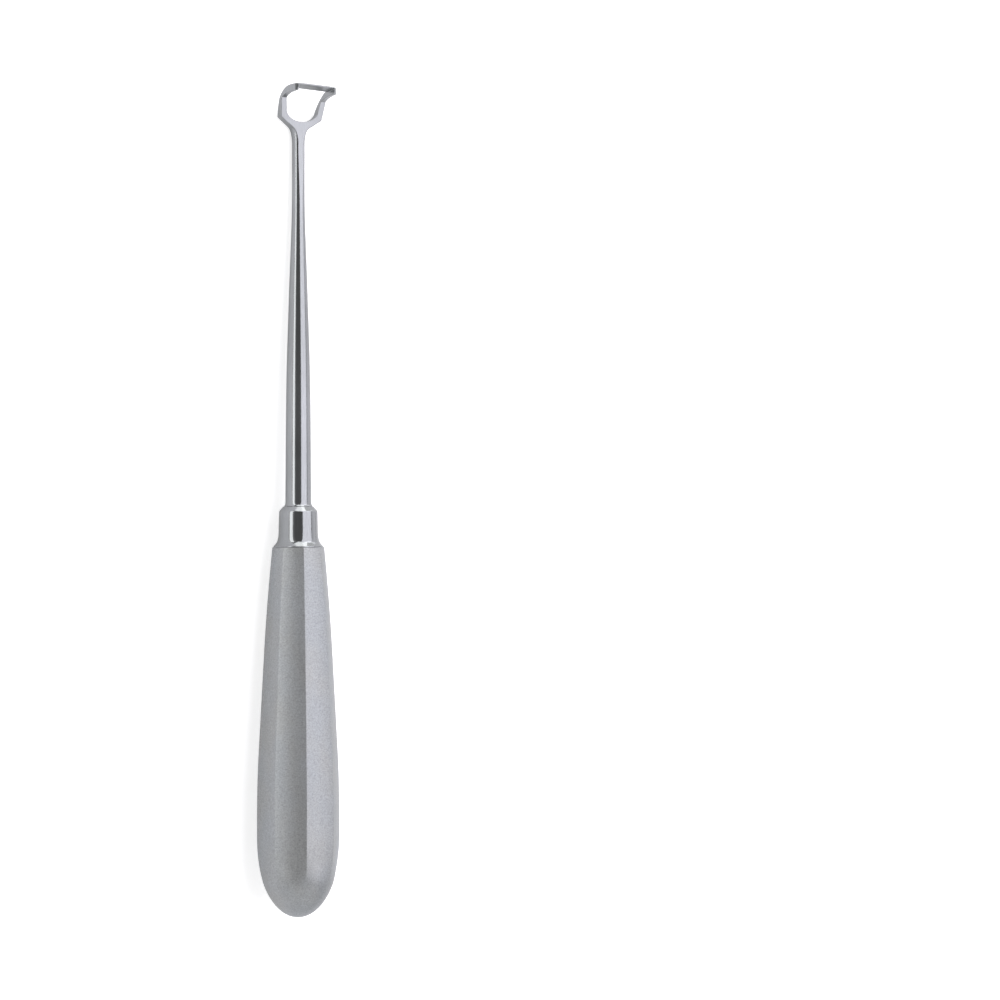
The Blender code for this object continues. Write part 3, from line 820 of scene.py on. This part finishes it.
@dataclass
class Forging(Piece):
    """Tang, shaft, neck and head in one piece, meshed where its distance is zero."""

    cell: float = 0.1
    half_width: float = 7.25
    behind: float = 4.1
    ahead: float = 9.1
    head_start: float = 199.0
    end: float = 218.75
    shaft_step: float = 1.0
    tang_step: float = 3.0
    foot_length: float = 3.0
    tang_margin: float = 0.3
    foot_margins: tuple[float, float] = (1.0, 0.5)
    probe: float = 0.004
    rounds: int = 3
    least_steepness: float = 0.25
    shaft: Shaft = field(default_factory=Shaft)
    head: Head = field(default_factory=Head)

    def distance(self, x: np.ndarray, a: np.ndarray, f: np.ndarray) -> np.ndarray:
        """Distance to shaft and head together."""
        return np.minimum(self.shaft.distance(x, a, f), self.head.distance(x, a, f))

    def axes(self) -> list[np.ndarray]:
        """Grid lines: even across and forward, and closer along the tool at the foot and the head."""
        foot_end = SHAFT_FOOT + self.foot_length
        tang_start = self.shaft.tang_end - self.tang_margin
        along = [
            np.arange(tang_start, SHAFT_FOOT - self.foot_margins[0], self.tang_step),
            np.arange(SHAFT_FOOT - self.foot_margins[1], foot_end, self.cell),
            np.arange(foot_end, self.head_start, self.shaft_step),
            np.arange(self.head_start, self.end, self.cell),
        ]
        across = np.arange(-self.half_width, self.half_width + self.cell, self.cell)
        forward = np.arange(-self.behind, self.ahead + self.cell, self.cell)
        return [across, np.concatenate(along), forward]

    def surface(self) -> tuple[np.ndarray, np.ndarray, np.ndarray | None]:
        """A net of quads over the cells that the surface crosses, drawn onto the surface."""
        axes = self.axes()
        values = self.distance(axes[0][:, None, None], axes[1][None, :, None], axes[2][None, None, :])
        points, faces = surface_net(axes, values)
        for _ in range(self.rounds):
            slope = self.slope(points)
            steepness = np.maximum((slope**2).sum(axis=1), self.least_steepness)
            step = self.distance(*points.T) / steepness
            points = points - np.clip(step, -self.cell, self.cell)[:, None] * slope
        normals = self.slope(points)
        return points, faces, normals / np.linalg.norm(normals, axis=1, keepdims=True)

    def slope(self, points: np.ndarray) -> np.ndarray:
        """Gradient of the distance, from differences over a small probe each way."""
        steps = np.eye(3) * self.probe
        pairs = [self.distance(*(points + step).T) - self.distance(*(points - step).T) for step in steps]
        return np.stack(pairs, axis=-1) / (2 * self.probe)


def surface_net(axes: list[np.ndarray], values: np.ndarray) -> tuple[np.ndarray, np.ndarray]:
    """A closed net where values change sign.

    Each crossed cell gets one point, the mean of the crossings on its edges, and each crossed grid
    edge gets one quad through the four cells around it.

    Args:
        axes: Grid lines along the three axes.
        values: Distance at the grid's corners, negative inside.

    Returns:
        Points and quads.
    """
    inside = values < 0
    cells = tuple(n - 1 for n in values.shape)
    total, count = np.zeros((*cells, 3)), np.zeros(cells)
    faces = []
    number = np.arange(int(np.prod(cells))).reshape(cells)
    for axis in range(3):
        low = np.take(values, range(cells[axis]), axis)
        high = np.take(values, range(1, cells[axis] + 1), axis)
        crossed = (low < 0) != (high < 0)
        where = np.nonzero(crossed)
        share = low[where] / (low[where] - high[where])
        place = np.stack([axes[d][where[d]] for d in range(3)], axis=-1)
        place[:, axis] += share * np.diff(axes[axis])[where[axis]]
        u, v = (axis + 1) % 3, (axis + 2) % 3
        ring = []
        for du, dv in ((1, 1), (0, 1), (0, 0), (1, 0)):
            cell = [where[0].copy(), where[1].copy(), where[2].copy()]
            cell[u] -= du
            cell[v] -= dv
            np.add.at(total, tuple(cell), place)
            np.add.at(count, tuple(cell), 1)
            ring.append(number[tuple(cell)])
        quads = np.stack(ring, axis=-1)
        leaving = inside[where]
        faces.append(np.where(leaving[:, None], quads, quads[:, ::-1]))
    used = np.nonzero(count.ravel())[0]
    points = total.reshape(-1, 3)[used] / count.ravel()[used, None]
    return points, np.searchsorted(used, np.vstack(faces))


@dataclass(frozen=True)
class Softbox:
    """A flat studio light, aimed at the tool from a direction across, along and above it."""

    name: str
    lean: float
    tip: float
    distance: float
    width: float
    length: float
    radiance: float
    tint: tuple[float, float, float] = (1.0, 1.0, 1.0)

    def build(self) -> bpy.types.Object:
        """The area light: its power gives its face the wanted radiance, its length lies along the tool."""
        light = bpy.data.lights.new(self.name, "AREA")
        light.shape = "RECTANGLE"
        light.color = self.tint
        light.size, light.size_y = self.width, self.length
        light.energy = self.radiance * math.pi * self.width * self.length
        made = bpy.data.objects.new(self.name, light)
        bpy.context.scene.collection.objects.link(made)
        made.visible_camera = False
        lean, tip = math.radians(self.lean), math.radians(self.tip)
        away = Vector((math.sin(lean) * math.cos(tip), math.sin(tip), math.cos(lean) * math.cos(tip)))
        side = Vector((0.0, 1.0, 0.0)).cross(away).normalized()
        columns = Matrix((side, away.cross(side), away)).transposed()
        made.matrix_world = Matrix.Translation(away * self.distance) @ columns.to_4x4()
        return made


SOFTBOXES = (
    Softbox("overhead_softbox", 20.0, 14.0, 0.93, 0.97, 1.54, 1.7, LAVENDER),
    Softbox("right_panel", 69.0, 10.0, 1.15, 0.76, 1.7, 0.72, LAVENDER),
    Softbox("left_strip", -76.5, 12.0, 0.8, 0.27, 1.3, 1.9),
    Softbox("end_softbox", -5.0, 71.0, 1.3, 1.0, 0.90, 1.8),
    Softbox("right_end_panel", 62.0, 57.0, 1.3, 1.3, 1.0, 0.70),
    Softbox("butt_panel", -10.0, -58.0, 1.3, 2.2, 1.1, 0.62),
)


@dataclass(frozen=True)
class Studio:
    """Plain floor and world: white to the camera, grey where mirrored, and darkest over the tool."""

    floor_size: float = 1.5
    floor_colour: float = 0.78
    floor_lift: float = 0.62
    mirrored_share: float = 0.38
    horizon: float = 0.42
    ceiling: float = 0.17
    rise: tuple[float, float] = (0.30, 0.62)

    def floor(self) -> bpy.types.Object:
        """The floor: matt, lifted to white for the camera, by a share for mirrors, and taking shadows."""
        half = self.floor_size / 2
        mesh = bpy.data.meshes.new("floor")
        corners = [(-half, -half, 0.0), (half, -half, 0.0), (half, half, 0.0), (-half, half, 0.0)]
        mesh.from_pydata(corners, [], [(0, 1, 2, 3)])
        made = bpy.data.objects.new("floor", mesh)
        bpy.context.scene.collection.objects.link(made)
        material = bpy.data.materials.new("floor_paper")
        material.use_nodes = True
        graph = Graph(material.node_tree)
        shader = material.node_tree.nodes["Principled BSDF"]
        shader.inputs["Base Color"].default_value = (*[self.floor_colour] * 3, 1.0)
        shader.inputs["Roughness"].default_value = 1.0
        shader.inputs["Specular IOR Level"].default_value = 0.0
        shader.inputs["Emission Strength"].default_value = 1.0
        seen = graph.node("ShaderNodeLightPath", output="Is Camera Ray").larger(
            graph.node("ShaderNodeLightPath", output="Is Glossy Ray") * self.mirrored_share
        )
        dark, lifted = (0.0, 0.0, 0.0, 1.0), (*[self.floor_lift] * 3, 1.0)
        glow = graph.mixed(seen, dark, lifted)
        material.node_tree.links.new(glow.output, shader.inputs["Emission Color"])
        mesh.materials.append(material)
        return made

    def world(self) -> None:
        """A world that is white to the camera, and else pale at the horizon and darker overhead."""
        world = bpy.data.worlds.new("studio")
        world.use_nodes = True
        bpy.context.scene.world = world
        graph = Graph(world.node_tree)
        direction = graph.node("ShaderNodeTexCoord", output="Generated")
        height = graph.node("ShaderNodeSeparateXYZ", values={0: direction}, output="Z")
        low, high = [(*[level] * 3, 1.0) for level in (self.horizon, self.ceiling)]
        colour = graph.mixed(height.smoothly(*self.rise), low, high)
        seen = graph.node("ShaderNodeLightPath", output="Is Camera Ray")
        shown = graph.mixed(seen, colour, WHITE)
        background = world.node_tree.nodes["Background"]
        world.node_tree.links.new(shown.output, background.inputs["Color"])


@dataclass(frozen=True)
class Viewpoint:
    """The photograph's camera, over the tool's left side, with the tool left of the middle."""

    roll: float = 34.1
    distance: float = 650.0
    aside: float = 53.2
    along: float = 110.0
    frame_width: float = 263.8
    sensor: float = 36.0

    def build(self) -> bpy.types.Object:
        """The camera: its up is the tool's axis, and it looks past the tool's right side."""
        turn = math.radians(self.roll) + math.atan(self.aside / self.distance)
        towards = np.array([-math.sin(turn), 0.0, math.cos(turn)])
        right = np.array([math.cos(turn), 0.0, math.sin(turn)])
        eye = np.array([0.0, self.along, 0.0]) + right * self.aside + towards * self.distance
        data = bpy.data.cameras.new("camera")
        data.sensor_width = self.sensor
        data.lens = self.sensor * self.distance / self.frame_width
        made = bpy.data.objects.new("camera", data)
        bpy.context.scene.collection.objects.link(made)
        columns = REST.turn(np.array([right, [0.0, 1.0, 0.0], towards])).T
        made.matrix_world = Matrix.Translation(Vector(REST.place(eye))) @ Matrix(columns.tolist()).to_4x4()
        bpy.context.scene.camera = made
        return made


def main() -> None:
    """Build the tool from butt to blade, then the studio and the camera."""
    logging.basicConfig(level=logging.INFO)
    Handle("handle", "handle_shell", "handle", SATIN).build()
    Ferrule("ferrule_collar", "ferrule", "ferrule", POLISHED).build()
    Forging("shaft_and_blade", "blade_and_shaft", "shaft", POLISHED).build()
    studio = Studio()
    studio.floor()
    studio.world()
    for softbox in SOFTBOXES:
        softbox.build()
    Viewpoint().build()
    bpy.context.scene.view_settings.view_transform = "Standard"


if __name__ == "__main__":
    main()
